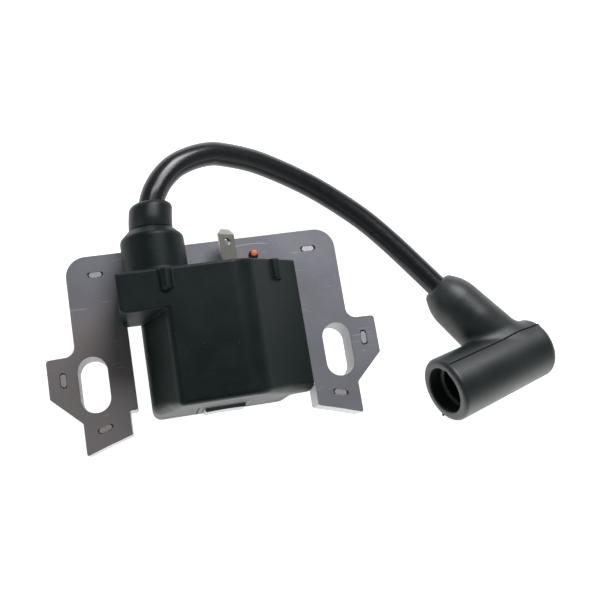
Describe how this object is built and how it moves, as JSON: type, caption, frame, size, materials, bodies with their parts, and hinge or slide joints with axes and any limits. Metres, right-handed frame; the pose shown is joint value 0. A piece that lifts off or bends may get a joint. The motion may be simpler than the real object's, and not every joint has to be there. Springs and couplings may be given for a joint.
{
  "type": "ignition coil",
  "caption": "Flywheel-magneto ignition coil: E-shaped laminated core with slotted feet, potted black module, short high-tension lead and rubber elbow plug cap.",
  "frame": {"origin": "on the module's back face, which it lies on, midway between the two mounting slots", "axes": "+X across the core, to the side the lead goes to; +Y from the flywheel to the tower; +Z from the back to the front of the module"},
  "size_m": [0.1296, 0.0782, 0.0395],
  "materials": {
    "core_steel": "bare silicon-steel sheet, satin",
    "case_plastic": "moulded black, fine grain",
    "potting_resin": "cast black resin",
    "copper": "copper, satin",
    "tin_plate": "tinned brass, satin",
    "grommet_rubber": "satin black rubber",
    "brass": "plain brass",
    "lead_insulation": "smooth black insulation with a sheen",
    "bobbin_plastic": "black glass-filled nylon",
    "magnet_wire": "enamelled copper wire",
    "glass_board": "glass-epoxy board",
    "chip_epoxy": "moulded epoxy",
    "capacitor_film": "dipped film",
    "resistor_ceramic": "ceramic chip",
    "cap_rubber": "matte black rubber",
    "spring_steel": "spring steel"
  },
  "bodies": {
    "coil": {"case_shell": "case_plastic", "circuit_board": "glass_board", "clip_pin": "brass", "control_chip": "chip_epoxy", "earth_pin": "copper", "ht_contact": "brass", "ht_lead": "lead_insulation", "lamination_01": "core_steel", "lamination_02": "core_steel", "lamination_03": "core_steel", "lamination_04": "core_steel", "lamination_05": "core_steel", "lamination_06": "core_steel", "lamination_07": "core_steel", "lamination_08": "core_steel", "lamination_09": "core_steel", "lamination_10": "core_steel", "lamination_11": "core_steel", "lamination_12": "core_steel", "lamination_13": "core_steel", "lamination_14": "core_steel", "potting": "potting_resin", "power_transistor": "chip_epoxy", "primary_bobbin": "bobbin_plastic", "primary_winding": "magnet_wire", "resistor_1": "resistor_ceramic", "resistor_2": "resistor_ceramic", "secondary_bobbin": "bobbin_plastic", "secondary_winding_1": "magnet_wire", "secondary_winding_2": "magnet_wire", "secondary_winding_3": "magnet_wire", "secondary_winding_4": "magnet_wire", "stop_terminal": "tin_plate", "timing_capacitor": "capacitor_film", "tower_grommet": "grommet_rubber"},
    "plug_cap": {"plug_cap_boot": "cap_rubber", "plug_clip": "spring_steel"}
  },
  "joints": [
    {"name": "cap_swivel", "type": "hinge", "parent": "coil", "child": "plug_cap", "pos_m": [0.0793, -0.0081, 0.0101], "axis": [-0.6002, 0.7979, -0.0565], "range_deg": [-90, 90]}
  ]
}
